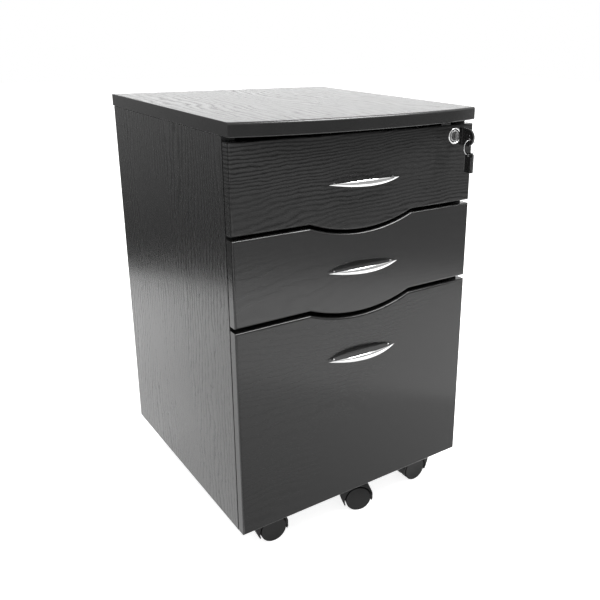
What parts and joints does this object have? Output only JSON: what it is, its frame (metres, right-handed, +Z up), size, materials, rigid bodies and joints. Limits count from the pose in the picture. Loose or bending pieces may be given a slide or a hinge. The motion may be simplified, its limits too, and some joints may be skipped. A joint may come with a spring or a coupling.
{
  "type": "rolling pedestal cabinet",
  "caption": "Black wood-effect rolling pedestal with two box drawers and a file drawer, bowed top, chrome handles, cam lock and twin-wheel casters.",
  "frame": {"origin": "on the floor, under the middle of the whole object's box", "axes": "+Z up, front towards -Y, +X to the right seen from the front"},
  "size_m": [0.392, 0.452, 0.6183],
  "materials": {
    "black_ash": "satin black ash foil on board",
    "chrome": "polished chrome plate",
    "zinc_steel": "bright zinc plate",
    "painted_steel": "black epoxy powder coat",
    "black_plastic": "moulded nylon"
  },
  "bodies": {
    "cabinet": {"top_panel": "black_ash", "side_left": "black_ash", "side_right": "black_ash", "back_panel": "black_ash", "bottom_panel": "black_ash", "strike_plate": "zinc_steel", "upper_runner_left": "painted_steel", "upper_runner_right": "painted_steel", "middle_runner_left": "painted_steel", "middle_runner_right": "painted_steel", "file_runner_left": "painted_steel", "file_runner_right": "painted_steel", "front_left_caster_plate": "zinc_steel", "front_right_caster_plate": "zinc_steel", "rear_left_caster_plate": "zinc_steel", "rear_right_caster_plate": "zinc_steel"},
    "upper_drawer": {"upper_drawer_front": "black_ash", "upper_drawer_side_left": "painted_steel", "upper_drawer_side_right": "painted_steel", "upper_drawer_back": "painted_steel", "upper_drawer_bottom": "painted_steel", "upper_handle": "chrome", "lock_housing": "chrome"},
    "middle_drawer": {"middle_drawer_front": "black_ash", "middle_drawer_side_left": "painted_steel", "middle_drawer_side_right": "painted_steel", "middle_drawer_back": "painted_steel", "middle_drawer_bottom": "painted_steel", "middle_handle": "chrome"},
    "file_drawer": {"file_drawer_front": "black_ash", "file_drawer_side_left": "painted_steel", "file_drawer_side_right": "painted_steel", "file_drawer_back": "painted_steel", "file_drawer_bottom": "painted_steel", "file_handle": "chrome", "file_rail_left": "zinc_steel", "file_rail_right": "zinc_steel", "file_caster_block": "black_plastic", "file_caster_plate": "zinc_steel"},
    "lock_cylinder": {"lock_plug": "chrome", "lock_cam": "zinc_steel", "key": "black_plastic"},
    "key_ring": {"key_ring": "chrome"},
    "spare_key": {"spare_key": "black_plastic"},
    "front_left_caster": {"front_left_caster_hood": "black_plastic"},
    "front_left_caster_wheel_a": {"front_left_caster_wheel_a": "black_plastic"},
    "front_left_caster_wheel_b": {"front_left_caster_wheel_b": "black_plastic"},
    "front_right_caster": {"front_right_caster_hood": "black_plastic"},
    "front_right_caster_wheel_a": {"front_right_caster_wheel_a": "black_plastic"},
    "front_right_caster_wheel_b": {"front_right_caster_wheel_b": "black_plastic"},
    "rear_left_caster": {"rear_left_caster_hood": "black_plastic"},
    "rear_left_caster_wheel_a": {"rear_left_caster_wheel_a": "black_plastic"},
    "rear_left_caster_wheel_b": {"rear_left_caster_wheel_b": "black_plastic"},
    "rear_right_caster": {"rear_right_caster_hood": "black_plastic"},
    "rear_right_caster_wheel_a": {"rear_right_caster_wheel_a": "black_plastic"},
    "rear_right_caster_wheel_b": {"rear_right_caster_wheel_b": "black_plastic"},
    "file_caster": {"file_caster_hood": "black_plastic"},
    "file_caster_wheel_a": {"file_caster_wheel_a": "black_plastic"},
    "file_caster_wheel_b": {"file_caster_wheel_b": "black_plastic"}
  },
  "joints": [
    {"name": "upper_drawer_slide", "type": "slide", "parent": "cabinet", "child": "upper_drawer", "axis": [0, -1, 0], "range_m": [0, 0.26]},
    {"name": "middle_drawer_slide", "type": "slide", "parent": "cabinet", "child": "middle_drawer", "axis": [0, -1, 0], "range_m": [0, 0.26]},
    {"name": "file_drawer_slide", "type": "slide", "parent": "cabinet", "child": "file_drawer", "axis": [0, -1, 0], "range_m": [0, 0.3]},
    {"name": "lock_turn", "type": "hinge", "parent": "upper_drawer", "child": "lock_cylinder", "pos_m": [0.1585, -0.184, 0.579], "axis": [0, 1, 0], "range_deg": [0, 90]},
    {"name": "key_ring_swing", "type": "hinge", "parent": "lock_cylinder", "child": "key_ring", "pos_m": [0.1585, -0.2175, 0.5775], "axis": [1, 0, 0], "range_deg": [-25, 25]},
    {"name": "spare_key_slip", "type": "hinge", "parent": "key_ring", "child": "spare_key", "pos_m": [0.1585, -0.2175, 0.5665], "axis": [0, 1, 0], "range_deg": [-90, 90]},
    {"name": "front_left_caster_swivel", "type": "hinge", "parent": "cabinet", "child": "front_left_caster", "pos_m": [-0.149, -0.14, 0.048], "axis": [0, 0, 1], "continuous": true},
    {"name": "front_left_caster_wheel_a_spin", "type": "hinge", "parent": "front_left_caster", "child": "front_left_caster_wheel_a", "pos_m": [-0.13322, -0.13071, 0.02], "axis": [0.0785, 0.9969, 0], "continuous": true},
    {"name": "front_left_caster_wheel_b_spin", "type": "hinge", "parent": "front_left_caster", "child": "front_left_caster_wheel_b", "pos_m": [-0.13487, -0.15164, 0.02], "axis": [0.0785, 0.9969, 0], "continuous": true},
    {"name": "front_right_caster_swivel", "type": "hinge", "parent": "cabinet", "child": "front_right_caster", "pos_m": [0.149, -0.14, 0.048], "axis": [0, 0, 1], "continuous": true},
    {"name": "front_right_caster_wheel_a_spin", "type": "hinge", "parent": "front_right_caster", "child": "front_right_caster_wheel_a", "pos_m": [0.13426, -0.15086, 0.02], "axis": [0.0244, -0.9997, 0], "continuous": true},
    {"name": "front_right_caster_wheel_b_spin", "type": "hinge", "parent": "front_right_caster", "child": "front_right_caster_wheel_b", "pos_m": [0.13375, -0.12987, 0.02], "axis": [0.0244, -0.9997, 0], "continuous": true},
    {"name": "rear_left_caster_swivel", "type": "hinge", "parent": "cabinet", "child": "rear_left_caster", "pos_m": [-0.149, 0.181, 0.048], "axis": [0, 0, 1], "continuous": true},
    {"name": "rear_left_caster_wheel_a_spin", "type": "hinge", "parent": "rear_left_caster", "child": "rear_left_caster_wheel_a", "pos_m": [-0.14069, 0.19731, 0.02], "axis": [-0.4695, 0.8829, 0], "continuous": true},
    {"name": "rear_left_caster_wheel_b_spin", "type": "hinge", "parent": "rear_left_caster", "child": "rear_left_caster_wheel_b", "pos_m": [-0.13083, 0.17877, 0.02], "axis": [-0.4695, 0.8829, 0], "continuous": true},
    {"name": "rear_right_caster_swivel", "type": "hinge", "parent": "cabinet", "child": "rear_right_caster", "pos_m": [0.149, 0.181, 0.048], "axis": [0, 0, 1], "continuous": true},
    {"name": "rear_right_caster_wheel_a_spin", "type": "hinge", "parent": "rear_right_caster", "child": "rear_right_caster_wheel_a", "pos_m": [0.13092, 0.17814, 0.02], "axis": [-0.4384, -0.8988, 0], "continuous": true},
    {"name": "rear_right_caster_wheel_b_spin", "type": "hinge", "parent": "rear_right_caster", "child": "rear_right_caster_wheel_b", "pos_m": [0.14012, 0.19701, 0.02], "axis": [-0.4384, -0.8988, 0], "continuous": true},
    {"name": "file_caster_swivel", "type": "hinge", "parent": "file_drawer", "child": "file_caster", "pos_m": [0, -0.1497, 0.048], "axis": [0, 0, 1], "continuous": true},
    {"name": "file_caster_wheel_a_spin", "type": "hinge", "parent": "file_caster", "child": "file_caster_wheel_a", "pos_m": [0.01768, -0.14493, 0.02], "axis": [0.3404, 0.9403, 0], "continuous": true},
    {"name": "file_caster_wheel_b_spin", "type": "hinge", "parent": "file_caster", "child": "file_caster_wheel_b", "pos_m": [0.01053, -0.16468, 0.02], "axis": [0.3404, 0.9403, 0], "continuous": true}
  ],
  "couplings": [
    {"joint": "spare_key_slip", "follows": "lock_turn", "ratio": -1}
  ]
}
